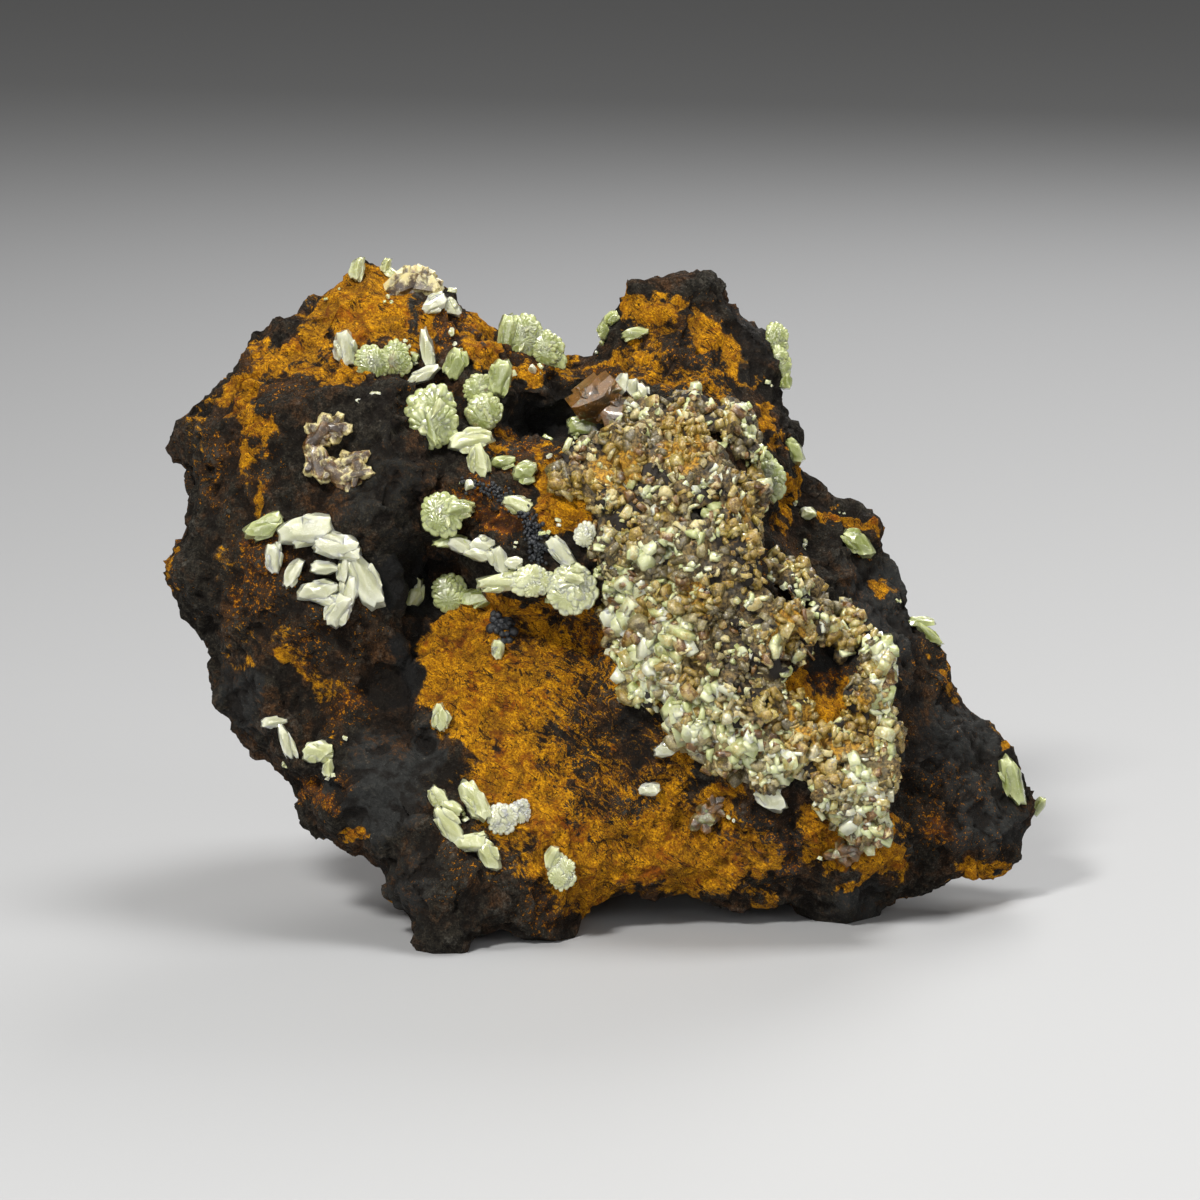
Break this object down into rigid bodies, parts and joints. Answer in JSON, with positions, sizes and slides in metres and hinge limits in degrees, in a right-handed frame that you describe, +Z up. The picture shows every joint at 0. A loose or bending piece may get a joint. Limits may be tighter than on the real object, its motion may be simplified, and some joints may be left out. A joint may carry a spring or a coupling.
{
  "type": "cerussite specimen",
  "caption": "Natural mineral specimen: cream crystal crust and scattered pearly crystals on a rough ochre and dark rust-brown limonite matrix.",
  "frame": {"origin": "centre of the bounding box's underside, on the plane that the feet stand on", "axes": "+X to the right of the show side along the longest side, +Y from the show side to the back, +Z up"},
  "size_m": [0.0898, 0.0533, 0.0648],
  "materials": {
    "limonite": "rough and earthy, mottled ochre yellow, rust orange and dark grey-brown",
    "crust_crystals": "granular crystals, cream to beige, stained ochre and grey, with small bright glints",
    "cerussite": "pearly to adamantine, cream white to pale yellow-green, slightly translucent"
  },
  "bodies": {
    "root": {"amber_vug_crystal": "cerussite", "bright_lens": "cerussite", "brown_reticulated_twin": "cerussite", "brown_skyline_plate": "cerussite", "crystal_crust": "crust_crystals", "face_white_crystal": "cerussite", "face_yellow_lens": "cerussite", "foot_chain": "cerussite", "foot_chips": "cerussite", "foot_grey_rosette": "cerussite", "foot_low_rosette": "cerussite", "foot_plate": "cerussite", "great_rosette": "cerussite", "green_vug_crystal": "cerussite", "hat_crystal": "cerussite", "hollow_rosette": "cerussite", "horn_foot_chips": "cerussite", "horn_lens": "cerussite", "leaning_lens": "cerussite", "ledge_edge_whites": "cerussite", "ledge_rosette": "cerussite", "ledge_top_lens": "cerussite", "left_band_barrel": "cerussite", "left_band_great_tablets": "cerussite", "left_band_seed": "cerussite", "left_band_wedge": "cerussite", "left_band_white_1": "cerussite", "left_band_white_2": "cerussite", "left_band_white_3": "cerussite", "left_slab_crystals": "cerussite", "left_slab_plate": "cerussite", "low_ledge_pair": "cerussite", "matrix": "limonite", "peak_crystal": "cerussite", "right_blades": "cerussite", "right_green_lens": "cerussite", "right_half_lens": "cerussite", "right_round_crystal": "cerussite", "right_skyline_rosette": "cerussite", "right_tip_chip": "cerussite", "right_tip_lens": "cerussite", "serrated_rosette": "cerussite", "shaded_lens": "cerussite", "shelf_rosette": "cerussite", "skyline_chips": "cerussite", "skyline_rosette": "cerussite", "slope_lens": "cerussite", "slope_plate": "cerussite", "slope_small_lens": "cerussite", "small_mound_rosette": "cerussite", "stacked_rosettes": "cerussite", "toothed_rosette": "cerussite", "upper_gully_barrel": "cerussite", "upper_gully_plate": "cerussite", "upper_left_barrel": "cerussite", "upper_left_rosette": "cerussite", "vug_glints": "cerussite", "vug_lip_crystal": "cerussite", "white_upper_crystals": "cerussite"}
  },
  "joints": []
}
